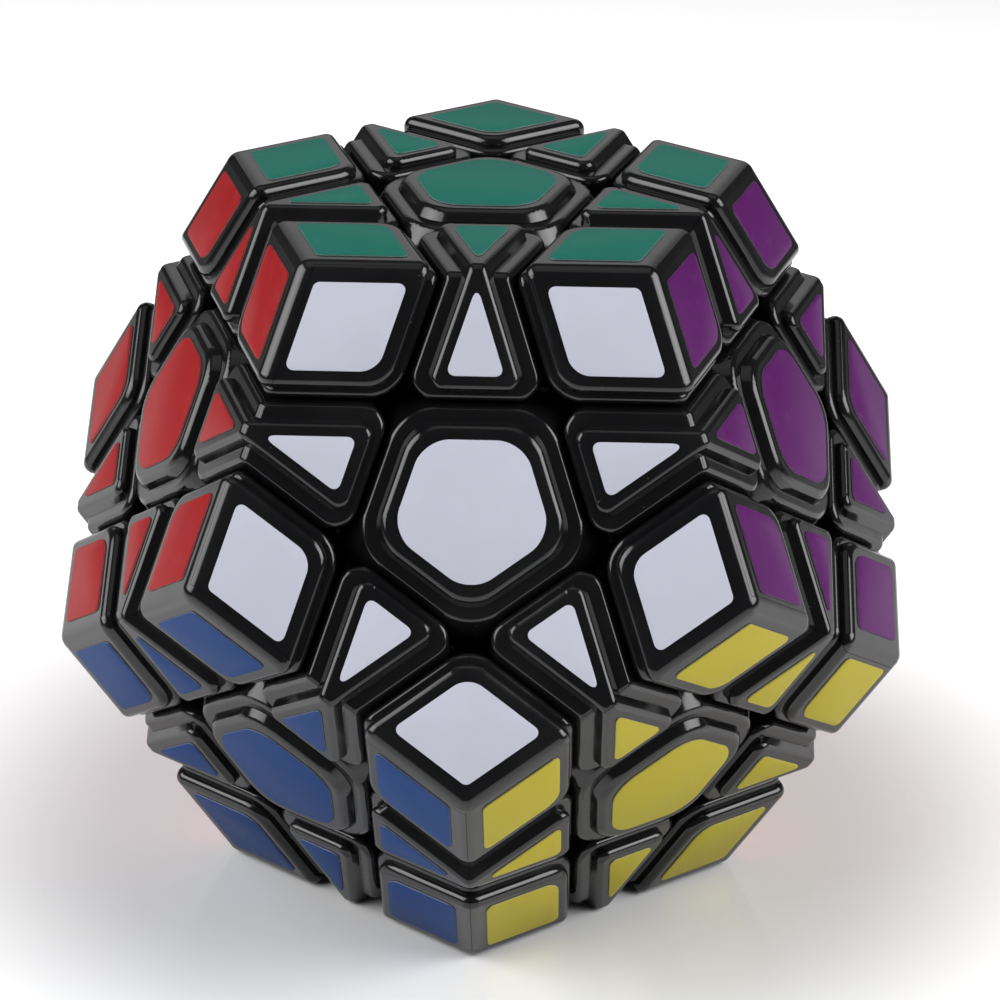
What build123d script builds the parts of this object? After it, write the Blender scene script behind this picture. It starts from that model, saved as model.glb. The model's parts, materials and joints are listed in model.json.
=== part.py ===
from build123d import *
import os
from math import atan, cos, degrees, radians, sin, sqrt, tan

# Dodecahedron twisty puzzle: twelve flat faces, each able to turn on a screw in the core.
#
# Every outer piece is a hollow black moulding with a raised tile on a lower step. Under it,
# a foot reaches down into the mechanism and is caught below its neighbours. All the hidden
# running surfaces are cones and spheres about the face axes, so a layer turns freely.
#
# Frame: millimetres, +Z up. The origin is the centre of the core, where the axes meet.
# The top face is green, and the white face leans back at the front, towards -Y.

# ---- driving dimensions --------------------------------------------------------------
EDGE = 29.0                 # length of one edge of the dodecahedron
CUT_INSET = 0.414 * EDGE    # from a dodecahedron edge to the cut beside it, along the face
STEP_DROP = 1.0             # the step's height below the raised tile
STEP_GAP = 0.15             # from a cut to the step of the piece beside it
TILE_GAP = 1.1              # from a cut to the raised tile of a corner or a centre
EDGE_TILE_GAP = 1.2         # the same on an edge piece
EDGE_BASE = 0.988           # flat base of an edge's block, as a share of the bearing's radius
WALL = 1.5                  # thickness of the moulded shells
SEAM = 0.02                 # half of the hairline seam where two shells meet
FIT = 0.05                  # clearance of a piece pushed into its neighbour on the bench
RUN = 0.15                  # clearance either side of a running sphere
RUN_ANGLE = 0.6             # clearance either side of a running cone, in degrees

OUTER_CONE = 42.0           # half angle of a turning layer just under the shells, in degrees
INNER_CONE = 50.0           # half angle of a turning layer round the feet, in degrees
LEDGE_R = 21.5              # sphere where the outer cone changes to the inner one
FOOT_R = 17.1               # sphere on which the feet and stems start

TILE_EDGE_R = 0.8           # rounding of the tile's shoulder
EDGE_TILE_R = 0.6           # the same on an edge piece
STEP_EDGE_R = 0.55          # rounding of the step's rim
CORNER_RIDGE_R = 1.4        # rounding of a corner piece's three ridges
EDGE_RIDGE_R = 1.0          # rounding of an edge piece's ridge
CORNER_PLAN_R = 3.0         # rounding of a corner's tile where it points at the centre
CORNER_STEP_R = 3.7         # the same on its step
CENTRE_PLAN_R = 4.0         # rounding of the five corners of a centre's tile
CENTRE_STEP_R = 4.9         # the same on its step
EDGE_PLAN_R = 0.95          # rounding of the inner corners of an edge's tile
EDGE_STEP_R = 1.6           # the same on its step
TOUCH = 0.001               # how near counts as lying in a plane

HUB_R = 9.0                 # ball at the middle of the core
HUB_BORE_R = 5.6            # hollow inside that ball
POST_R = 3.0                # screw post of the core
POST_END = 16.7             # height of the post's end above the core's centre
SCREW_R = 1.25              # shank of a tension screw
SCREW_START = 6.6           # tip of the screw
SCREW_HEAD_R = 2.5
SCREW_HEAD_LOW = 26.2
SCREW_HEAD_TOP = 27.9
SLOT_WIDTH = 0.6            # cross slot in the screw's head
SLOT_LENGTH = 3.2
SLOT_DEPTH = 0.9
WASHER_R = 2.9
WASHER_THICK = 0.5
WELL_R = 3.3                # well in a centre for its spring and screw
WELL_WALL = 1.3
WELL_FLOOR = 18.6           # height of the floor that the spring presses on
SPRING_R = 2.2              # radius of the spring's coil, to the middle of its wire
SPRING_WIRE_R = 0.3
SPRING_TURNS = 5
POCKET_R = 7.0              # ring-shaped pocket round the well, for an even wall
POCKET_FLOOR = 23.2
CAP_GAP = 0.04              # hairline under a centre's cap
CAP_RING_WALL = 0.7         # ring under the cap, pushed into the well
CAP_RING_DEPTH = 1.5

STALK_R = 1.45              # stalk of a corner's foot
PLUG_R = 2.9                # plug that holds the stalk inside the shells
PLUG_RISE = 1.2             # height of the plug's cone and of its rim
BOSS_HALF_LENGTH = 2.6      # block that joins an edge's foot to its plug
BOSS_HALF_WIDTH = 2.2
EDGE_PLUG_HALF_LENGTH = 3.5
EDGE_PLUG_HALF_WIDTH = 3.0
WING_HALF_WIDTH = 7.0       # across an edge's foot above the ledge, in degrees
TOE_HALF_WIDTH = 17.6       # across it below the ledge, in degrees
NECK_LAP = 1.0              # how far a foot's joining blocks run into their neighbours
SHOULDER = 0.8              # the part of a centre's flange that rises into its step, as a share
SHOULDER_DROP = 0.5         # top of that rise, below the step's surface
SCREW_PLAY = 0.2            # clearance round a screw's shank in a centre

# ---- the dodecahedron ----------------------------------------------------------------
FACE_TILT = degrees(atan(2))            # between the axes of two neighbouring faces
EDGE_TILT = FACE_TILT / 2               # from an edge's middle to the axes of its two faces
END_TILT = 90 - EDGE_TILT               # from an edge's middle to the faces at its ends
INRADIUS = EDGE * sqrt(250 + 110 * sqrt(5)) / 20
FACE_RADIUS = EDGE / (2 * sin(radians(36)))
VERTEX_TILT = degrees(atan(FACE_RADIUS / INRADIUS))
CUT = INRADIUS - CUT_INSET * sin(radians(FACE_TILT))    # height of a cut above the core
BEARING_R = CUT / cos(radians(OUTER_CONE))              # sphere under the outer shells
STOCK = 4 * INRADIUS

UPPER_RING = ["white", "purple", "sky", "cream", "red"]
LOWER_RING = ["yellow", "orange", "grey", "pink", "blue"]
TURNING = {"white": "front_centre", "cream": "rear_centre", "lime": "bottom_centre"}


def tilted(tilt, turn):
    """Unit vector at an angle from +Z, turned about Z from the XZ plane, in degrees."""
    across = sin(radians(tilt))
    return Vector(across * cos(radians(turn)), across * sin(radians(turn)), cos(radians(tilt)))


def face_axes():
    """The outward axis of each face, by its colour. A turn of -90 points at -Y."""
    axes = {"green": tilted(0, 0)}
    for place, colour in enumerate(UPPER_RING):
        axes[colour] = tilted(FACE_TILT, 72 * place - 90)
    for place, colour in enumerate(LOWER_RING):
        axes[colour] = tilted(180 - FACE_TILT, 72 * place + 36 - 90)
    axes["lime"] = Vector(0, 0, -1)
    return axes


AXES = face_axes()


def level(axis, height):
    """The plane square to a face axis at a height above the core's centre."""
    return Plane(origin=axis * height, z_dir=axis)


def block(under, above):
    """A flat-sided block below some planes and above others."""
    with BuildPart() as solid:
        Box(STOCK, STOCK, STOCK)
        for plane in under:
            split(bisect_by=plane, keep=Keep.BOTTOM)
        for plane in above:
            split(bisect_by=plane, keep=Keep.TOP)
    return solid.part


def lying_in(solid, planes):
    """The edges of a solid that lie in any of some planes."""
    return solid.edges().filter_by(lambda edge: any(
        max(abs(plane.to_local_coords(edge @ end).Z) for end in (0, 1)) < TOUCH for plane in planes))


def rim_edges(solid, top_count):
    """The edges where the outermost faces of a block meet its walls."""
    faces = solid.faces().sort_by(Axis.Z)
    return ShapeList(set(faces[-top_count:].edges()) & set(faces[:-top_count].edges()))


# ---- corner pieces: three tiles round a vertex, in the vertex's own frame ----------------
CORNER_FACES = [tilted(VERTEX_TILT, 120 * place) for place in range(3)]
CORNER_SEAM = Plane(origin=(0, 0, 0), z_dir=tilted(90, 60 + 90))    # through the first ridge


def corner_block(drop, gap, plan_r, rim_r):
    """The rhombic block of a corner, with its inner edges, ridges and rim rounded."""
    under = [level(axis, INRADIUS - drop) for axis in CORNER_FACES]
    above = [level(axis, CUT + gap) for axis in CORNER_FACES]
    with BuildPart() as solid:
        add(block(under, above))
        if plan_r:
            fillet(solid.edges().sort_by(Axis.Z)[:3], radius=plan_r)
            fillet(solid.edges().sort_by(Axis.Z)[-3:], radius=CORNER_RIDGE_R)
            fillet(rim_edges(solid, 7), radius=rim_r)
    return solid.part


def corner_shell(tile, step, cavity):
    """The whole shell of a corner, before it is cut into two mouldings."""
    with BuildPart() as shell:
        add(tile)
        add(step)
        Sphere(BEARING_R + RUN, mode=Mode.SUBTRACT)
        add(cavity, mode=Mode.SUBTRACT)
        Cylinder(STALK_R + FIT, INRADIUS, align=(Align.CENTER, Align.CENTER, Align.MIN),
                 mode=Mode.SUBTRACT)
    return shell.part


def corner_near_half(shell):
    """One side of the ridge between the first two faces, with the whole third tile."""
    with BuildPart() as lid:
        add(shell)
        split(bisect_by=level(CORNER_FACES[2], INRADIUS - STEP_DROP), keep=Keep.TOP)
    with BuildPart() as half:
        add(shell)
        split(bisect_by=CORNER_SEAM.offset(SEAM), keep=Keep.TOP)
        add(lid.part)
    return half.part


def corner_far_half(shell):
    """The other side of that ridge, cut off below the third tile."""
    with BuildPart() as half:
        add(shell)
        split(bisect_by=CORNER_SEAM.offset(-SEAM), keep=Keep.BOTTOM)
        split(bisect_by=level(CORNER_FACES[2], INRADIUS - STEP_DROP - 2 * SEAM), keep=Keep.BOTTOM)
    return half.part


def corner_cavity():
    """The hollow inside a corner's shell."""
    with BuildPart() as hollow:
        add(corner_block(STEP_DROP + WALL, STEP_GAP + WALL, 0, 0))
        Sphere(BEARING_R + RUN + WALL, mode=Mode.SUBTRACT)
    return hollow.part


def corner_foot():
    """Mushroom foot, stalk and plug of a corner, one turned piece."""
    head_tilt = radians(INNER_CONE - VERTEX_TILT - RUN_ANGLE)
    head_top = (LEDGE_R - RUN) * cos(head_tilt)
    plug_low = BEARING_R + RUN + WALL + FIT
    with BuildPart() as foot:
        with BuildSketch(Plane.XZ):
            with BuildLine():
                Polyline(
                    (0, FOOT_R),
                    (FOOT_R * tan(head_tilt), FOOT_R),
                    (head_top * tan(head_tilt), head_top),
                    (STALK_R, head_top),
                    (STALK_R, plug_low),
                    (PLUG_R, plug_low + PLUG_RISE),
                    (PLUG_R, plug_low + 2 * PLUG_RISE),
                    (0, plug_low + 2 * PLUG_RISE),
                    close=True,
                )
            make_face()
        revolve(axis=Axis.Z)
    return foot.part


# ---- edge pieces: two tiles either side of an edge, X along it and Z out through it -------
EDGE_FACES = [tilted(EDGE_TILT, turn) for turn in (90, -90)]
END_FACES = [tilted(END_TILT, turn) for turn in (0, 180)]


def edge_block(drop, gap, plan_r, rim_r):
    """The block of an edge piece between the cuts of its two faces and its two end faces."""
    sides = [level(axis, CUT + gap) for axis in EDGE_FACES]
    ends = [level(axis, CUT - gap) for axis in END_FACES]
    under = [level(axis, INRADIUS - drop) for axis in EDGE_FACES]
    base = [Plane.XY.offset(EDGE_BASE * BEARING_R)] if plan_r else []
    with BuildPart() as solid:
        add(block(under + ends, sides + base))
        if plan_r:
            upright = set(lying_in(solid, sides)) & set(lying_in(solid, ends))
            fillet(ShapeList(upright), radius=plan_r)
            fillet(solid.edges().sort_by(Axis.Z)[-1], radius=EDGE_RIDGE_R)
            fillet(rim_edges(solid, 3), radius=rim_r)
    return solid.part


def edge_cavity():
    """The hollow inside an edge's shell."""
    with BuildPart() as hollow:
        add(edge_block(STEP_DROP + WALL, STEP_GAP + WALL, 0, 0))
        Sphere(BEARING_R + RUN + WALL, mode=Mode.SUBTRACT)
    return hollow.part


def edge_shell(tile, step, cavity, side):
    """Half of an edge's shell, cut along the ridge between its two faces."""
    seam = Plane.XZ.offset(side * SEAM)
    with BuildPart() as shell:
        add(tile)
        add(step)
        Sphere(BEARING_R + RUN, mode=Mode.SUBTRACT)
        add(cavity, mode=Mode.SUBTRACT)
        Box(2 * (BOSS_HALF_LENGTH + FIT), 2 * (BOSS_HALF_WIDTH + FIT), INRADIUS,
            align=(Align.CENTER, Align.CENTER, Align.MIN), mode=Mode.SUBTRACT)
        split(bisect_by=seam, keep=Keep.TOP if side > 0 else Keep.BOTTOM)
    return shell.part


def wedge(half_length, half_width, low, high):
    """A block between two spheres, spreading by given half angles along and across an edge."""
    with BuildPart() as solid:
        Sphere(high)
        Sphere(low, mode=Mode.SUBTRACT)
        for turn in (0, 180):
            split(bisect_by=Plane((0, 0, 0), z_dir=tilted(90 + half_length, turn)), keep=Keep.BOTTOM)
        for turn in (90, 270):
            split(bisect_by=Plane((0, 0, 0), z_dir=tilted(90 + half_width, turn)), keep=Keep.BOTTOM)
    return solid.part


def edge_foot():
    """Wings above the ledge, toes below it, and the plug held inside the shells."""
    wing_length = END_TILT - OUTER_CONE - RUN_ANGLE
    toe_length = END_TILT - INNER_CONE - RUN_ANGLE
    toe_width = TOE_HALF_WIDTH - RUN_ANGLE
    wing_width = WING_HALF_WIDTH - RUN_ANGLE
    plug_low = BEARING_R + RUN + WALL + FIT
    boss_low = BEARING_R - 2 * RUN - NECK_LAP
    wing = wedge(wing_length, wing_width, LEDGE_R + RUN, BEARING_R - RUN)
    neck = wedge(toe_length, wing_width, LEDGE_R - NECK_LAP, LEDGE_R + NECK_LAP)
    toe = wedge(toe_length, toe_width, FOOT_R, LEDGE_R - RUN)
    with BuildPart() as foot:
        add([wing, neck, toe])
        with Locations((0, 0, boss_low)):
            Box(2 * BOSS_HALF_LENGTH, 2 * BOSS_HALF_WIDTH, plug_low - boss_low + PLUG_RISE,
                align=(Align.CENTER, Align.CENTER, Align.MIN))
        with Locations((0, 0, plug_low)):
            Box(2 * EDGE_PLUG_HALF_LENGTH, 2 * EDGE_PLUG_HALF_WIDTH, PLUG_RISE,
                align=(Align.CENTER, Align.CENTER, Align.MIN))
    return foot.part


# ---- centres: one five-sided tile, Z out along its axis, X towards a neighbour ------------
RING_FACES = [tilted(FACE_TILT, 72 * place) for place in range(5)]


def centre_block(top, bottom, gap, plan_r, rim_r):
    """A five-sided slab of a centre, between two heights."""
    under = [level(axis, CUT - gap) for axis in RING_FACES] + [Plane.XY.offset(top)]
    with BuildPart() as solid:
        add(block(under, [Plane.XY.offset(bottom)]))
        fillet(solid.faces().filter_by(Axis.Z, reverse=True).edges().filter_by(
            lambda edge: abs(edge.tangent_at(0).Z) > 0.3), radius=plan_r)
        fillet(solid.faces().sort_by(Axis.Z)[-1].edges(), radius=rim_r)
    return solid.part


def centre_body():
    """Step, flange, stem and spring well of a centre, one moulding."""
    flange = radians(FACE_TILT - OUTER_CONE - RUN_ANGLE)
    stem = radians(FACE_TILT - INNER_CONE - RUN_ANGLE)
    flange_low = (LEDGE_R + RUN) * cos(stem)
    rim = BEARING_R - RUN
    top = INRADIUS - STEP_DROP - CAP_GAP
    shoulder = SHOULDER * rim * sin(flange)
    step = centre_block(top, CUT, STEP_GAP, CENTRE_STEP_R, STEP_EDGE_R)
    with BuildPart() as body:
        add(step)
        Sphere(BEARING_R + RUN, mode=Mode.SUBTRACT)
        with BuildSketch(Plane.XZ):
            with BuildLine():
                Polyline(
                    (0, FOOT_R),
                    (FOOT_R * tan(stem), FOOT_R),
                    (flange_low * tan(stem), flange_low),
                    (flange_low * tan(flange), flange_low),
                    (rim * sin(flange), rim * cos(flange)),
                    (shoulder, rim),
                    (shoulder, top - SHOULDER_DROP),
                    (0, top - SHOULDER_DROP),
                    close=True,
                )
            make_face()
        revolve(axis=Axis.Z)
        with Locations((0, 0, POCKET_FLOOR)):
            Cylinder(POCKET_R, INRADIUS, align=(Align.CENTER, Align.CENTER, Align.MIN),
                     mode=Mode.SUBTRACT)
        with BuildSketch(Plane.XY.offset(POCKET_FLOOR)):
            Circle(WELL_R + WELL_WALL)
        extrude(amount=top - POCKET_FLOOR)
        with Locations((0, 0, WELL_FLOOR)):
            Cylinder(WELL_R, INRADIUS, align=(Align.CENTER, Align.CENTER, Align.MIN),
                     mode=Mode.SUBTRACT)
        Cylinder(SCREW_R + SCREW_PLAY, INRADIUS, align=(Align.CENTER, Align.CENTER, Align.MIN),
                 mode=Mode.SUBTRACT)
    return body.part


def centre_cap():
    """The raised tile of a centre, with the ring that plugs into the well."""
    low = INRADIUS - STEP_DROP
    tile = centre_block(INRADIUS, low, TILE_GAP, CENTRE_PLAN_R, TILE_EDGE_R)
    with BuildPart() as cap:
        add(tile)
        with BuildSketch(Plane.XY.offset(low)):
            Circle(WELL_R - FIT)
            Circle(WELL_R - FIT - CAP_RING_WALL, mode=Mode.SUBTRACT)
        extrude(amount=-CAP_RING_DEPTH)
    return cap.part


# ---- the mechanism on each axis, Z out along it ------------------------------------------
def tension_screw():
    """Pan-head screw with a cross slot, through a centre into a post of the core."""
    with BuildPart() as screw:
        with BuildSketch(Plane.XY.offset(SCREW_START)):
            Circle(SCREW_R)
        extrude(amount=SCREW_HEAD_LOW - SCREW_START)
        chamfer(screw.edges().sort_by(Axis.Z)[0], length=SCREW_R / 2)
        with BuildSketch(Plane.XY.offset(SCREW_HEAD_LOW)):
            Circle(SCREW_HEAD_R)
        extrude(amount=SCREW_HEAD_TOP - SCREW_HEAD_LOW)
        fillet(screw.edges().sort_by(Axis.Z)[-1], radius=SLOT_WIDTH)
        with BuildSketch(Plane.XY.offset(SCREW_HEAD_TOP)):
            Rectangle(SLOT_LENGTH, SLOT_WIDTH)
            Rectangle(SLOT_WIDTH, SLOT_LENGTH)
        extrude(amount=-SLOT_DEPTH, mode=Mode.SUBTRACT)
    return screw.part


def washer():
    """Flat washer between the spring and the screw's head."""
    with BuildPart() as ring:
        with BuildSketch(Plane.XY.offset(SCREW_HEAD_LOW - WASHER_THICK)):
            Circle(WASHER_R)
            Circle(SCREW_R + 2 * FIT, mode=Mode.SUBTRACT)
        extrude(amount=WASHER_THICK)
    return ring.part


def spring():
    """Round-wire compression spring between the well's floor and the washer."""
    low = WELL_FLOOR + SPRING_WIRE_R
    height = SCREW_HEAD_LOW - WASHER_THICK - SPRING_WIRE_R - low
    with BuildPart() as coil:
        with BuildLine(Plane.XY.offset(low)) as path:
            Helix(pitch=height / SPRING_TURNS, height=height, radius=SPRING_R)
        with BuildSketch(Plane(origin=path.line @ 0, z_dir=path.line % 0)):
            Circle(SPRING_WIRE_R)
        sweep(is_frenet=True)
    return coil.part


def core_half(axes, side):
    """Half of the hollow ball, with one drilled screw post on each of its six axes."""
    bore = SCREW_R + FIT
    with BuildPart() as half:
        Sphere(HUB_R)
        for axis in axes:
            with BuildSketch(Plane(origin=(0, 0, 0), z_dir=axis)):
                Circle(POST_R)
            extrude(amount=POST_END)
        Sphere(HUB_BORE_R, mode=Mode.SUBTRACT)
        for axis in axes:
            with BuildSketch(Plane(origin=(0, 0, 0), z_dir=axis)):
                Circle(bore)
            extrude(amount=POST_END, mode=Mode.SUBTRACT)
        split(bisect_by=Plane.XY, keep=side)
    return half.part


# ---- places ------------------------------------------------------------------------------
def centre_place(colour):
    """The seat of a centre: Z along its axis, X leaning to a neighbouring face."""
    axis = AXES[colour]
    beside = next(other for other in AXES.values() if 0.1 < axis.dot(other) < 0.9)
    return Plane(origin=(0, 0, 0), x_dir=beside, z_dir=axis).location


def edge_place(first, second):
    """The seat of an edge piece: Z out through the edge, X along it."""
    across = AXES[first].cross(AXES[second])
    return Plane(origin=(0, 0, 0), x_dir=across, z_dir=AXES[first] + AXES[second]).location


def corner_place(first, second, third):
    """The seat of a corner piece, with its seam between the first two faces."""
    if AXES[first].cross(AXES[second]).dot(AXES[third]) < 0:
        first, second = second, first
    outward = AXES[first] + AXES[second] + AXES[third]
    return Plane(origin=(0, 0, 0), x_dir=AXES[first], z_dir=outward).location


def corner_list():
    """The colours on each corner piece. Its seam lies between the first two."""
    corners = []
    for place in range(5):
        here, after, before = UPPER_RING[place], UPPER_RING[(place + 1) % 5], LOWER_RING[place - 1]
        below, beyond = LOWER_RING[place], LOWER_RING[(place + 1) % 5]
        corners.append(("green", after, here))
        corners.append((here, after, below))
        corners.append((before, below, here))
        corners.append((below, beyond, "lime"))
    return corners


def edge_list():
    """The colours on each edge piece: every pair of neighbouring faces."""
    colours = list(AXES)
    return [(first, second) for place, first in enumerate(colours)
            for second in colours[place + 1:] if AXES[first].dot(AXES[second]) > 0.1]


def write(name, solids, places):
    """Places copies of some solids, as one named piece, and writes it."""
    with BuildPart() as piece:
        with Locations(*places):
            add(solids)
    piece.part.label = name
    export_step(piece.part, f"parts/{name}.step", write_pcurves=False)


# ---- build ---------------------------------------------------------------------------------
os.makedirs("parts", exist_ok=True)

corner_tile = corner_block(0, TILE_GAP, CORNER_PLAN_R, TILE_EDGE_R)
corner_step = corner_block(STEP_DROP, STEP_GAP, CORNER_STEP_R, STEP_EDGE_R)
whole = corner_shell(corner_tile, corner_step, corner_cavity())
corner_solids = [corner_near_half(whole), corner_far_half(whole), corner_foot()]
for colours in corner_list():
    write("corner_" + "_".join(colours), corner_solids, [corner_place(*colours)])

edge_tile = edge_block(0, EDGE_TILE_GAP, EDGE_PLAN_R, EDGE_TILE_R)
edge_step = edge_block(STEP_DROP, STEP_GAP, EDGE_STEP_R, STEP_EDGE_R)
hollow = edge_cavity()
edge_solids = [edge_shell(edge_tile, edge_step, hollow, side) for side in (1, -1)]
edge_solids.append(edge_foot())
for colours in edge_list():
    write("edge_" + "_".join(colours), edge_solids, [edge_place(*colours)])

centre_solids = [centre_body(), centre_cap()]
for colour, name in TURNING.items():
    write(name, centre_solids, [centre_place(colour)])
write("fixed_centres", centre_solids, [centre_place(colour) for colour in AXES if colour not in TURNING])

every_place = [centre_place(colour) for colour in AXES]
write("tension_screws", [tension_screw()], every_place)
write("spring_washers", [washer()], every_place)
write("tension_springs", [spring()], every_place)

origin = [Location((0, 0, 0))]
upper_axes = [axis for axis in AXES.values() if axis.Z > 0]
lower_axes = [axis for axis in AXES.values() if axis.Z < 0]
write("core_upper_half", [core_half(upper_axes, Keep.TOP)], origin)
write("core_lower_half", [core_half(lower_axes, Keep.BOTTOM)], origin)

print(f"edge {EDGE}, face to face {2 * INRADIUS:.2f}, cut {CUT:.3f}, bearing {BEARING_R:.3f}")
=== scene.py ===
# %% [markdown]
# # A dodecahedron twisty puzzle, finished in Blender
#
# The puzzle is a ball of small black plastic mouldings round a core of screws. The mouldings, their
# hairline seams and the mechanism under them come from the engineering model, which is loaded as a
# frame and never changed here. This lesson adds what that model leaves plain:
#
# 1. the plastics, steels and vinyl, each as a small network of shader nodes;
# 2. the 132 vinyl stickers on the raised tiles, each a thin film with a cut edge;
# 3. a studio: a pale backlit floor, soft lights and a camera.
#
# Everything is in metres, and the origin is the centre of the core, where the face axes meet.

# %% Load the frame
import bpy, json, math
from mathutils import Matrix, Quaternion, Vector


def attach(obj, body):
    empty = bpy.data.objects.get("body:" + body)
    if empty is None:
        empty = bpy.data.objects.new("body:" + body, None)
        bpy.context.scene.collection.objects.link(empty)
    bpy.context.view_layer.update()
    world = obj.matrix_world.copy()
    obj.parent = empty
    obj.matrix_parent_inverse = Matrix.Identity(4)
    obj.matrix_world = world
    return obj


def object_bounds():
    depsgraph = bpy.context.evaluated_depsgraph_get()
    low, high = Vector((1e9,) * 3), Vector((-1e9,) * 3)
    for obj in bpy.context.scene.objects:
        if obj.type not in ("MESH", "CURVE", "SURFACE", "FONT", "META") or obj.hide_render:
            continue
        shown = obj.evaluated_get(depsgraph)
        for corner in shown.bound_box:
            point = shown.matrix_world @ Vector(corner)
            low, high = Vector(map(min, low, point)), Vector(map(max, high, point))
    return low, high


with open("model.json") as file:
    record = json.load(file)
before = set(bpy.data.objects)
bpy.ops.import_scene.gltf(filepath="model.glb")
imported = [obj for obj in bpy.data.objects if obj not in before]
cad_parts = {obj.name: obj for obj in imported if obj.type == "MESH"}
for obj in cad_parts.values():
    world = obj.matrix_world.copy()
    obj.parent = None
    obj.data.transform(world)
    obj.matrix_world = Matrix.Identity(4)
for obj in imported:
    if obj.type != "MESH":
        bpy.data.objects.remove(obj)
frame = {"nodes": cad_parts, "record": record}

cad_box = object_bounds()

# %% [markdown]
# ## The solid that all places come from
#
# A regular dodecahedron is set by one length. The puzzle stands on one face with another on top, so
# half its height is the distance from the centre to every face. From that come the edge and the
# distance from a face's middle to its edges. Neighbouring face axes are atan(2) apart, and the cuts
# between the pieces run parallel to a face's edges, a fixed share of the edge inside them.

# %% Measure the dodecahedron
MM = 0.001
FIFTH = math.radians(72)                          # a fifth of a turn
HALF_FIFTH = math.radians(36)
CORNER = math.radians(108)                        # a pentagon's corner, and a rhombus's wide one
HALF_CORNER = math.radians(54)
CUT_SHARE = 0.414                                 # how far inside an edge its cut is, in edges
face_height = (cad_box[1] - cad_box[0]).z / 2
edge_length = face_height * 20 / math.sqrt(250 + 110 * math.sqrt(5))
face_apothem = edge_length / (2 * math.tan(HALF_FIFTH))
cut_line = face_apothem - CUT_SHARE * edge_length
face_tilt = math.atan(2)
print(f"face height {face_height / MM:.2f} mm, edge {edge_length / MM:.2f} mm, cut at {cut_line / MM:.2f} mm")

# %% Name the twelve faces by colour
def face_axis(tilt, turn):
    """The outward axis of a face, tilted from +Z and turned about Z from the front."""
    across = math.sin(tilt)
    return Vector((across * math.sin(turn), -across * math.cos(turn), math.cos(tilt)))


UPPER_RING = ["white", "purple", "sky", "cream", "red"]
LOWER_RING = ["yellow", "orange", "grey", "pink", "blue"]
face_axes = {"green": Vector((0, 0, 1)), "lime": Vector((0, 0, -1))}
for place in range(5):
    face_axes[UPPER_RING[place]] = face_axis(face_tilt, math.radians(72 * place))
    face_axes[LOWER_RING[place]] = face_axis(math.pi - face_tilt, math.radians(72 * place + 36))
print("faces:", ", ".join(face_axes))

# %% [markdown]
# ## Writing shaders as sums
#
# A material in Blender is a graph of nodes. Wiring Math nodes by hand hides the formula, so a small
# class wraps one output socket: adding or multiplying wires adds the Math node that does it, and
# `1 - mask` works too. Every other node is made by one method, which takes the node's type, its own
# settings, and what goes into its sockets.

# %% A wire that can be calculated with
class Wire:
    """One output of a shader node. Operators on wires add Math nodes."""

    def __init__(self, tree, socket=None):
        self.tree = tree
        self.socket = socket

    def add(self, kind, settings=None, out=0, **inputs):
        """Adds any node, then gives the wire of one of its outputs. Spaces in socket names are _."""
        node = self.tree.nodes.new(kind)
        for name, value in (settings or {}).items():
            setattr(node, name, value)
        for name, value in inputs.items():
            index = int(name[1:]) if name[0] == "_" else name.replace("_", " ")
            socket = node.inputs[index]
            if isinstance(value, Wire):
                self.tree.links.new(value.socket, socket)
            else:
                socket.default_value = value
        return Wire(self.tree, node.outputs[out]) if node.outputs else node

    def math(self, operation, first, second=0.0):
        return self.add("ShaderNodeMath", {"operation": operation}, _0=first, _1=second)

    def __add__(self, other):
        return self.math("ADD", self, other)

    def __radd__(self, other):
        return self.math("ADD", other, self)

    def __sub__(self, other):
        return self.math("SUBTRACT", self, other)

    def __rsub__(self, other):
        return self.math("SUBTRACT", other, self)

    def __mul__(self, other):
        return self.math("MULTIPLY", self, other)

    def __rmul__(self, other):
        return self.math("MULTIPLY", other, self)

    def step(self, low, high):
        """0 below low, 1 above high, and a smooth rise between."""
        return self.add("ShaderNodeMapRange", {"interpolation_type": "SMOOTHSTEP"},
                        Value=self, From_Min=low, From_Max=high)

    def mix(self, first, second):
        """A colour between first, where this mask is 0, and second, where it is 1."""
        return self.add("ShaderNodeMix", {"data_type": "RGBA"}, out=2, _0=self, _6=first, _7=second)


# %% [markdown]
# ## A material's usual parts
#
# Every finish here has the same skeleton: places in object space, a few noises at the sizes that the
# real surface shows, and one Principled shader that takes the results. So that skeleton is two
# helpers: one starts a material and gives the places, and the other ends it with the shader.

# %% Start and end a material
def start_material(name):
    """A new material with an empty graph, and the wire of its object coordinates."""
    material = bpy.data.materials.new(name)
    material.use_nodes = True
    material.node_tree.nodes.clear()
    graph = Wire(material.node_tree)
    return material, graph.add("ShaderNodeTexCoord", out="Object")


def noise(places, size, detail=3.0, roughness=0.5, squash=(1, 1, 1)):
    """A wire of soft noise whose blobs are about size across, in metres. squash stretches them."""
    stretched = places.add("ShaderNodeMapping", Vector=places, Scale=squash)
    return places.add("ShaderNodeTexNoise", Vector=stretched, Scale=1 / size, Detail=detail,
                      Roughness=roughness)


def specks(places, spacing, size):
    """A mask of round specks: 1 on a speck, 0 elsewhere."""
    distance = places.add("ShaderNodeTexVoronoi", out="Distance", Vector=places, Scale=1 / spacing,
                          Randomness=1.0)
    return 1 - distance.step(size / spacing, 2 * size / spacing)


def bump(places, height, depth, base=None):
    """A normal that follows a height wire of 0 to 1, depth metres deep."""
    inputs = {"Height": height, "Distance": depth, "Strength": 1.0}
    if base:
        inputs["Normal"] = base
    return places.add("ShaderNodeBump", **inputs)


def end_material(material, places, **finish):
    """Closes the graph with one Principled shader."""
    shader = places.add("ShaderNodeBsdfPrincipled", **finish)
    places.add("ShaderNodeOutputMaterial", Surface=shader)
    return material


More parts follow.
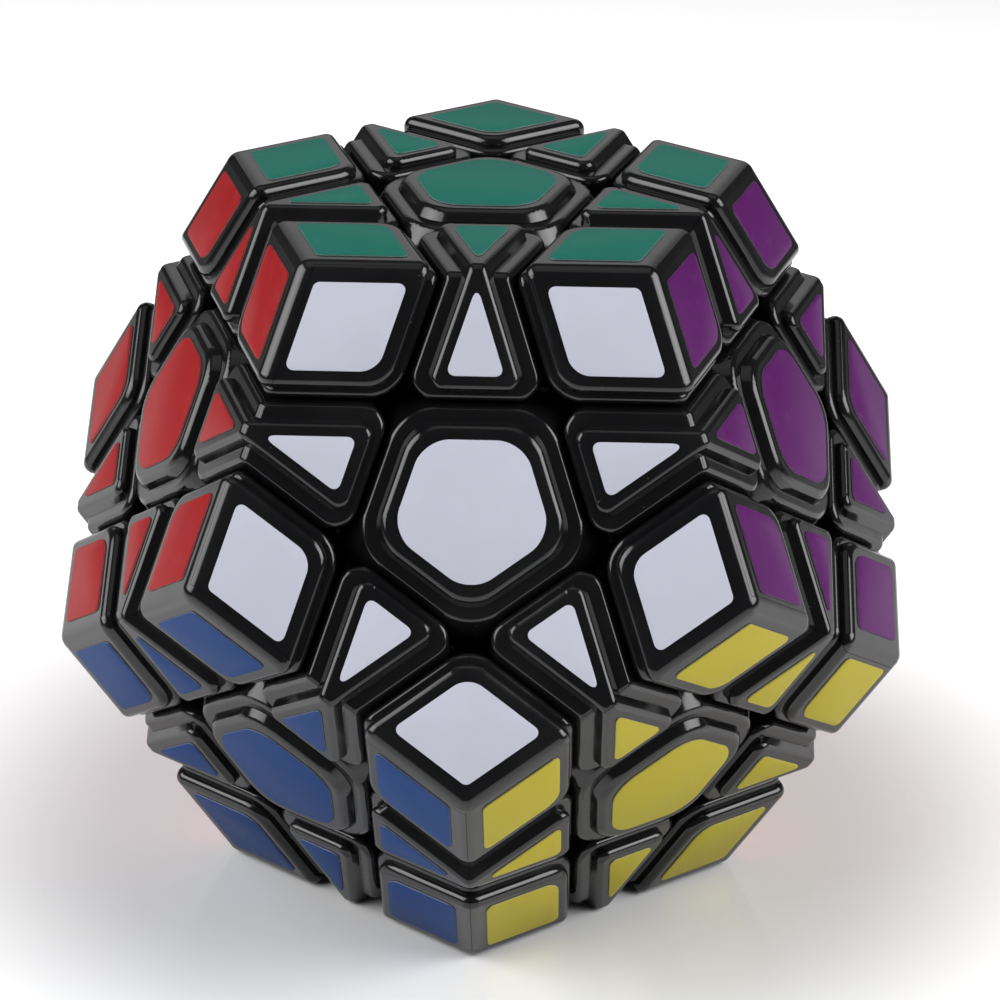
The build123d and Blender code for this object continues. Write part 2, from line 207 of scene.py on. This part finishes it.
# %% [markdown]
# ## Glossy black plastic
#
# The shells are injection-moulded and nearly mirror-black. What tells the eye that it is plastic and
# not glass is small: a slow ripple from the mould, handling haze that blurs the reflections in
# patches, hair-fine scratches, and a few grains of dust. Each is one noise at its own size.

# %% Glossy black plastic
def glossy_black():
    material, places = start_material("glossy_black_plastic")
    haze = noise(places, 9 * MM, detail=4.0).step(0.40, 0.72)
    smears = noise(places, 2.2 * MM, detail=5.0, squash=(1, 0.35, 1)).step(0.45, 0.75)
    scratches = noise(places, 0.5 * MM, detail=2.0, squash=(1, 14, 9)).step(0.64, 0.72)
    dust = specks(places, 1.6 * MM, 0.030 * MM)
    ripple = bump(places, noise(places, 3.5 * MM, detail=1.0), 0.012 * MM)
    grain = bump(places, noise(places, 0.16 * MM, detail=2.0), 0.0010 * MM, ripple)
    shade = haze.mix((0.0052, 0.0053, 0.0060, 1), (0.0085, 0.0086, 0.0094, 1))
    colour = (dust * 0.55).mix(shade, (0.16, 0.16, 0.155, 1))
    roughness = 0.10 + 0.05 * haze + 0.07 * smears + 0.10 * scratches + 0.3 * dust
    return end_material(material, places, Base_Color=colour, Roughness=roughness, Normal=grain,
                        IOR=1.50)


black_plastic = glossy_black()
print("made", black_plastic.name)

# %% [markdown]
# ## The core's plastic
#
# Deep in the gaps only the core and its posts show. Their plastic is black too, but straight from the
# tool with a satin skin, so they stay dark and give the gaps their depth.

# %% Satin core plastic
def satin_core():
    material, places = start_material("satin_core_plastic")
    mottle = noise(places, 1.5 * MM, detail=5.0, roughness=0.6)
    texture = bump(places, noise(places, 0.25 * MM, detail=4.0), 0.010 * MM)
    colour = mottle.mix((0.010, 0.010, 0.011, 1), (0.022, 0.022, 0.023, 1))
    return end_material(material, places, Base_Color=colour, Roughness=0.42 + 0.2 * mottle,
                        Normal=texture)


core_plastic = satin_core()
print("made", core_plastic.name)

# %% [markdown]
# ## Steel screws, washers and springs
#
# The screws and washers are zinc-plated, which dulls steel to a slightly patchy blue-grey. The
# springs are bright drawn wire: long fine draw marks, and darker where oil has stayed.

# %% Two steels
def plated_steel():
    material, places = start_material("zinc_plated_steel")
    patches = noise(places, 0.8 * MM, detail=4.0)
    marks = noise(places, 0.10 * MM, detail=3.0, squash=(1, 1, 6))
    colour = patches.mix((0.50, 0.51, 0.53, 1), (0.68, 0.68, 0.66, 1))
    return end_material(material, places, Base_Color=colour, Metallic=1.0,
                        Roughness=0.24 + 0.14 * patches, Normal=bump(places, marks, 0.002 * MM))


def drawn_wire():
    material, places = start_material("drawn_spring_wire")
    oil = noise(places, 1.2 * MM, detail=3.0).step(0.45, 0.65)
    marks = noise(places, 0.06 * MM, detail=3.0, squash=(6, 6, 1))
    colour = oil.mix((0.46, 0.46, 0.47, 1), (0.30, 0.29, 0.27, 1))
    return end_material(material, places, Base_Color=colour, Metallic=1.0,
                        Roughness=0.20 + 0.12 * marks, Normal=bump(places, marks, 0.0015 * MM))


finishes = {"black_plastic": black_plastic, "core_plastic": core_plastic,
            "bright_steel": plated_steel(), "spring_steel": drawn_wire()}
print("made", ", ".join(material.name for material in finishes.values()))

# %% [markdown]
# ## Dress the engineering parts
#
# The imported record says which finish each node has, so the nodes are dressed in one loop. Only their
# material slots change: the meshes stay as the engineering model made them.

# %% Give each node its finish
for part in frame["record"]["subparts"]:
    node = frame["nodes"][part["node"]]
    node.data.materials.clear()
    node.data.materials.append(finishes[part["material_slot"]])

# %% [markdown]
# ## Vinyl
#
# Each sticker is coloured vinyl film, die-cut, with a satin face. The pigment is even, with a very
# slow drift in its shade. The face has a fine orange-peel that softens reflections, patches of light
# rubbing from fingers, and a few specks of dust. The cut edge shows the film's paler body.

# %% The twelve vinyl colours
VINYL = {
    "white": (0.515, 0.520, 0.612), "green": (0.010, 0.133, 0.100), "purple": (0.081, 0.004, 0.098),
    "sky": (0.093, 0.335, 0.540), "cream": (0.615, 0.550, 0.335), "red": (0.288, 0.005, 0.007),
    "yellow": (0.398, 0.336, 0.028), "orange": (0.615, 0.125, 0.009), "grey": (0.205, 0.210, 0.220),
    "pink": (0.595, 0.140, 0.232), "blue": (0.004, 0.036, 0.150), "lime": (0.168, 0.420, 0.042),
}


def scaled(colour, factor, lift=0.0):
    """A colour made brighter or darker, and lifted towards white."""
    return tuple(min(1.0, part * factor * (1 - lift) + lift) for part in colour) + (1.0,)


def vinyl_face(name, colour):
    material, places = start_material(f"vinyl_{name}")
    drift = noise(places, 6 * MM, detail=2.0)
    rubbed = noise(places, 1.3 * MM, detail=5.0, roughness=0.6).step(0.50, 0.80)
    peel = bump(places, noise(places, 0.35 * MM, detail=3.0), 0.0022 * MM)
    dust = specks(places, 2.4 * MM, 0.028 * MM)
    shade = drift.mix(scaled(colour, 0.95), scaled(colour, 1.05))
    worn = (0.25 * rubbed).mix(shade, scaled(colour, 1.0, 0.06))
    speckled = (0.5 * dust).mix(worn, scaled(colour, 0.6, 0.20))
    return end_material(material, places, Base_Color=speckled, Normal=peel,
                        Roughness=0.44 + 0.08 * drift + 0.10 * rubbed, IOR=1.25)


def vinyl_cut(name, colour):
    """The paler edge that the die leaves."""
    material, places = start_material(f"vinyl_cut_{name}")
    fibres = noise(places, 0.12 * MM, detail=3.0)
    shade = fibres.mix(scaled(colour, 0.75), scaled(colour, 1.0, 0.30))
    return end_material(material, places, Base_Color=shade, Roughness=0.5 + 0.2 * fibres,
                        Normal=bump(places, fibres, 0.003 * MM))


vinyls = {name: (vinyl_face(name, colour), vinyl_cut(name, colour)) for name, colour in VINYL.items()}
print("made", 2 * len(vinyls), "vinyl materials")

# %% [markdown]
# ## Three die shapes
#
# A face has eleven stickers but only three shapes: a rounded pentagon in the middle, five slim
# triangles on the edge pieces, and five rhombuses on the corner pieces. A shape is drawn flat, with
# +Y pointing away from the face's middle, by starting from a filled circle with few vertices, sizing
# it, rounding each corner with a vertex bevel, and extruding it to the film's thickness.

# %% Sizes of the stickers
FILM = 0.12 * MM                                  # thickness of the vinyl
RIM = 0.035 * MM                                  # rounding of its upper rim
centre_inset = 2.31 * MM                          # from the cuts round a centre to its sticker
edge_base_inset = 2.90 * MM                       # from an edge piece's own cut to its sticker
edge_side_inset = 2.27 * MM                       # from the cuts at its sides
corner_inset = 3.10 * MM                          # from a corner piece's cuts to its sticker
ridge_inset = 1.60 * MM                           # from the dodecahedron's edges to it
centre_rounding = 3.0 * MM                        # corner radii, from here on
tip_rounding = 0.40 * MM                          # an edge's sticker, at its far tip
base_rounding = 0.60 * MM                         # and at its two other corners
inner_rounding = 2.0 * MM                         # a corner's sticker, next to the face's middle
outer_rounding = 0.60 * MM                        # and at its three other corners
print(f"film {FILM / MM} mm thick on a face {2 * face_apothem / MM:.1f} mm across")

# %% Tools for one sticker
def deselect_all():
    bpy.ops.object.select_all(action="DESELECT")


def start_outline(name, corners, radius):
    """A filled circle with few corners, the first of them on +Y, open in edit mode."""
    deselect_all()
    bpy.ops.mesh.primitive_circle_add(vertices=corners, radius=radius, fill_type="NGON")
    sticker = bpy.context.object
    sticker.name = name
    bpy.ops.object.mode_set(mode="EDIT")
    return sticker


def select_vertices(sticker, wanted):
    """Selects the vertices whose place passes a test."""
    bpy.ops.mesh.select_all(action="DESELECT")
    bpy.ops.object.mode_set(mode="OBJECT")
    for vertex in sticker.data.vertices:
        vertex.select = wanted(vertex.co)
    bpy.ops.object.mode_set(mode="EDIT")


def round_corners(sticker, wanted, radius, angle, segments):
    """Rounds the corners that pass a test. angle is the angle between a corner's two sides."""
    bpy.ops.mesh.select_mode(type="VERT")
    select_vertices(sticker, wanted)
    bpy.ops.mesh.bevel(affect="VERTICES", offset=radius / math.tan(angle / 2), segments=segments,
                       profile=0.5)


def thicken(sticker):
    """Extrudes the outline to the film's thickness and softens its upper rim."""
    bpy.ops.mesh.select_all(action="SELECT")
    bpy.ops.mesh.extrude_region_move(TRANSFORM_OT_translate={"value": (0, 0, FILM)})
    bpy.ops.mesh.select_all(action="SELECT")
    bpy.ops.mesh.normals_make_consistent(inside=False)
    bpy.ops.mesh.select_mode(type="VERT")
    select_vertices(sticker, lambda place: place.z > FILM / 2)
    bpy.ops.mesh.select_mode(type="EDGE")
    bpy.ops.mesh.region_to_loop()
    bpy.ops.mesh.bevel(affect="EDGES", offset=RIM, segments=2)
    bpy.ops.object.mode_set(mode="OBJECT")
    bpy.ops.object.shade_smooth_by_angle(angle=math.radians(30))


# %% The centre's rounded pentagon
pentagon_apothem = cut_line - centre_inset
pentagon = start_outline("die_pentagon", 5, pentagon_apothem / math.cos(HALF_FIFTH))
round_corners(pentagon, lambda place: True, centre_rounding, CORNER, segments=12)
thicken(pentagon)
print("pentagon:", len(pentagon.data.polygons), "faces")

# %% The edge piece's slim triangle
triangle_base = cut_line + edge_base_inset
triangle_tip = (cut_line - edge_side_inset) / math.cos(FIFTH)
triangle_height = triangle_tip - triangle_base
half_base = triangle_height * math.tan(HALF_FIFTH / 2)
triangle = start_outline("die_triangle", 3, 1.0)  # an even triangle, 2 sin 60 wide and 1.5 high
bpy.ops.transform.resize(value=(half_base / math.sin(math.radians(60)), triangle_height / 1.5, 1),
                         center_override=(0, 0, 0))
bpy.ops.transform.translate(value=(0, triangle_base + triangle_height / 3, 0))
round_corners(triangle, lambda place: place.y > triangle_tip - 1 * MM, tip_rounding, HALF_FIFTH,
              segments=6)
round_corners(triangle, lambda place: place.y < triangle_base + 0.1 * MM, base_rounding, FIFTH,
              segments=6)
thicken(triangle)
print("triangle:", len(triangle.data.polygons), "faces, tip at", round(triangle_tip / MM, 2), "mm")

# %% The corner piece's rhombus
rhombus_side = (face_apothem - ridge_inset - cut_line - corner_inset) / math.sin(FIFTH)
rhombus_reach = rhombus_side * math.cos(HALF_CORNER)
rhombus_half = rhombus_side * math.sin(HALF_CORNER)
rhombus_low = (cut_line + corner_inset) / math.cos(HALF_FIFTH)
rhombus = start_outline("die_rhombus", 4, 1.0)    # a square on its corner, 2 wide and 2 high
bpy.ops.transform.resize(value=(rhombus_half, rhombus_reach, 1), center_override=(0, 0, 0))
bpy.ops.transform.translate(value=(0, rhombus_low + rhombus_reach, 0))
round_corners(rhombus, lambda place: abs(place.x) > rhombus_half / 2, outer_rounding, FIFTH,
              segments=6)
round_corners(rhombus, lambda place: place.y > rhombus_low + 1.9 * rhombus_reach, outer_rounding,
              CORNER, segments=6)
round_corners(rhombus, lambda place: place.y < rhombus_low + 0.1 * rhombus_reach, inner_rounding,
              CORNER, segments=10)
thicken(rhombus)
print("rhombus:", len(rhombus.data.polygons), "faces, side", round(rhombus_side / MM, 2), "mm")

# %% [markdown]
# ## Which layer carries a sticker?
#
# Three of the faces turn in the engineering model: the white, the cream and the lime. A sticker must
# turn with the piece under it. A piece belongs to a turning layer when one of its colours is that
# layer's colour, and otherwise it stays with the core.

# %% Layers by colour
LAYERS = {"white": "front_layer", "cream": "rear_layer", "lime": "bottom_layer"}


def body_under(colours):
    """The body that carries a piece with these colours."""
    for colour in colours:
        if colour in LAYERS:
            return LAYERS[colour]
    return "core"


def neighbours(colour):
    """The five faces round a face, in order round its axis. Their axes lean out from it by 63 degrees,
    and the other faces' axes point away from it."""
    axis = face_axes[colour]
    beside = [name for name, other in face_axes.items() if 0.1 < axis.dot(other) < 0.9]
    start = (face_axes[beside[0]] - axis * axis.dot(face_axes[beside[0]])).normalized()
    across = axis.cross(start)
    return sorted(beside, key=lambda name: math.atan2(face_axes[name].dot(across),
                                                      face_axes[name].dot(start)) % (2 * math.pi))


print("round white:", neighbours("white"))

# %% [markdown]
# ## Stick them on
#
# A copy of a die shape is laid on a face by a matrix whose axes are the face's own: +Y away from the
# face's middle, and +Z out of the face. The matrix goes into the copy's mesh, so that each sticker's
# object stays at the origin, as every piece's does. The side walls take the second material.

# %% Lay one sticker
def lay(die, name, colour, outward, body):
    """Copies a die shape onto a face, pointing away from the face's middle."""
    axis = face_axes[colour]
    outward = (outward - axis * axis.dot(outward)).normalized()
    side = outward.cross(axis)
    place = Matrix((side, outward, axis)).transposed().to_4x4()
    place.translation = axis * face_height
    sticker = bpy.data.objects.new(name, die.data.copy())
    bpy.context.scene.collection.objects.link(sticker)
    face, cut = vinyls[colour]
    sticker.data.materials.append(face)
    sticker.data.materials.append(cut)
    for polygon in sticker.data.polygons:
        is_wall = abs(polygon.normal.z) < 0.3
        polygon.material_index = 1 if is_wall else 0
    sticker.data.transform(place)
    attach(sticker, body)


# %% Lay all 132
for colour in face_axes:
    ring = neighbours(colour)
    corner_way = face_axes[ring[0]] + face_axes[ring[1]]
    lay(pentagon, f"sticker_{colour}_centre", colour, corner_way, body_under([colour]))
    for here, after in zip(ring, ring[1:] + ring[:1]):
        lay(triangle, f"sticker_{colour}_edge_{here}", colour, face_axes[here],
            body_under([colour, here]))
        lay(rhombus, f"sticker_{colour}_corner_{here}_{after}", colour,
            face_axes[here] + face_axes[after], body_under([colour, here, after]))
for die in (pentagon, triangle, rhombus):
    bpy.data.objects.remove(die)

# %% [markdown]
# ## The studio
#
# The puzzle stands on a pale, slightly glossy floor whose surface glows with painted light, an
# emission with no lamp behind it, masked off under the puzzle. Black plastic shows its form only
# through reflections, so the lights are large soft panels: one each side, high up, whose long
# reflections draw bright bands along the shoulders, and two weak ones, overhead and behind, that lift
# the top edges.

# %% Floor
GLOW = 0.45                                       # radiance of the painted glow on the floor, which has no lamp behind it
MASKED, CLEAR = 34 * MM, 64 * MM                  # the glow rises between these distances
FADING, FADED = 340 * MM, 480 * MM                # and falls by FALL between these
FALL = 0.90
FLOOR_SIZE = 6.0


def floor_with_painted_glow():
    material, places = start_material("pale_studio_floor")
    tone = noise(places, 60 * MM, detail=2.0)
    reach = places.add("ShaderNodeVectorMath", {"operation": "LENGTH"}, out=1, _0=places)
    # Painted light: the floor's emission glows with no lamp behind it. It is left off under and round the
    # puzzle's foot, which paints the floor darker there, and it fades far away.
    lit = reach.step(MASKED, CLEAR) * (1 - FALL * reach.step(FADING, FADED))
    glow = lit.mix((0, 0, 0, 1), (GLOW, GLOW, GLOW, 1))
    colour = tone.mix((0.86, 0.86, 0.865, 1), (0.88, 0.88, 0.885, 1))
    return end_material(material, places, Base_Color=colour, Roughness=0.10 + 0.03 * tone,
                        Emission_Color=glow, Emission_Strength=1.0)


deselect_all()
bpy.ops.mesh.primitive_plane_add(size=FLOOR_SIZE, location=(0, 0, -face_height - FILM))
floor = bpy.context.object
floor.name = "studio_floor"
floor.data.materials.append(floor_with_painted_glow())
print("floor at", round(floor.location.z / MM, 2), "mm")

# %% Lights
GRID = math.radians(95)                           # how far the panels' grids let light spread
WORLD_STRENGTH = 0.06                             # the room's own faint light


def panel(name, turn, rise, distance, width, height, radiance):
    """A soft rectangular light aimed at the core, from a turn round it and a rise above it."""
    place = Vector((math.sin(turn) * math.cos(rise), -math.cos(turn) * math.cos(rise),
                    math.sin(rise))) * distance
    light = bpy.data.lights.new(name, "AREA")
    light.shape = "RECTANGLE"
    light.size = width
    light.size_y = height
    light.energy = radiance * math.pi * width * height
    light.spread = GRID
    lamp = bpy.data.objects.new(name, light)
    bpy.context.scene.collection.objects.link(lamp)
    lamp.location = place
    lamp.rotation_euler = (-place).to_track_quat("-Z", "Y").to_euler()
    lamp.visible_camera = False


panel("left_panel", turn=math.radians(-76), rise=math.radians(34), distance=0.60, width=0.70,
      height=0.46, radiance=1.50)
panel("right_panel", turn=math.radians(78), rise=math.radians(32), distance=0.60, width=0.50,
      height=0.44, radiance=1.80)
panel("overhead_panel", turn=math.radians(180), rise=math.radians(84), distance=0.70, width=0.60,
      height=0.60, radiance=0.12)
panel("back_panel", turn=math.radians(180), rise=math.radians(22), distance=1.10, width=1.20,
      height=0.40, radiance=0.16)
world = bpy.data.worlds.new("studio_world")
world.use_nodes = True
background = world.node_tree.nodes["Background"]
background.inputs["Color"].default_value = (1, 1, 1, 1)
background.inputs["Strength"].default_value = WORLD_STRENGTH
bpy.context.scene.world = world
bpy.context.scene.view_settings.view_transform = "Standard"

# %% [markdown]
# ## The camera
#
# The camera looks down on the white face, nearly square to it, from 28 centimetres with a long lens.
# Its aim is a little right of and above the core, which sets the puzzle's place in the picture, and a
# slight roll levels the top face.

# %% Camera
def aim_camera(azimuth, elevation, roll, distance, aim_right, aim_up, lens):
    """A camera round the core: azimuth 0 looks along +Y, and elevation is above the horizon."""
    back = Vector((math.sin(azimuth) * math.cos(elevation), -math.cos(azimuth) * math.cos(elevation),
                   math.sin(elevation)))
    right = Vector((math.cos(azimuth), math.sin(azimuth), 0))
    up = back.cross(right)
    target = right * aim_right + up * aim_up
    data = bpy.data.cameras.new("studio_camera")
    data.lens = lens
    data.clip_start = 0.01
    camera = bpy.data.objects.new("studio_camera", data)
    bpy.context.scene.collection.objects.link(camera)
    camera.location = back * distance
    level = (target - camera.location).to_track_quat("-Z", "Y")
    camera.rotation_euler = (level @ Quaternion((0, 0, 1), roll)).to_euler()
    return camera


bpy.context.scene.camera = aim_camera(azimuth=math.radians(2.05), elevation=math.radians(25.74),
                                      roll=math.radians(0.48), distance=0.2819,
                                      aim_right=1.41 * MM, aim_up=1.37 * MM, lens=109.8)
print("camera", round(bpy.context.scene.camera.data.lens, 1), "mm")
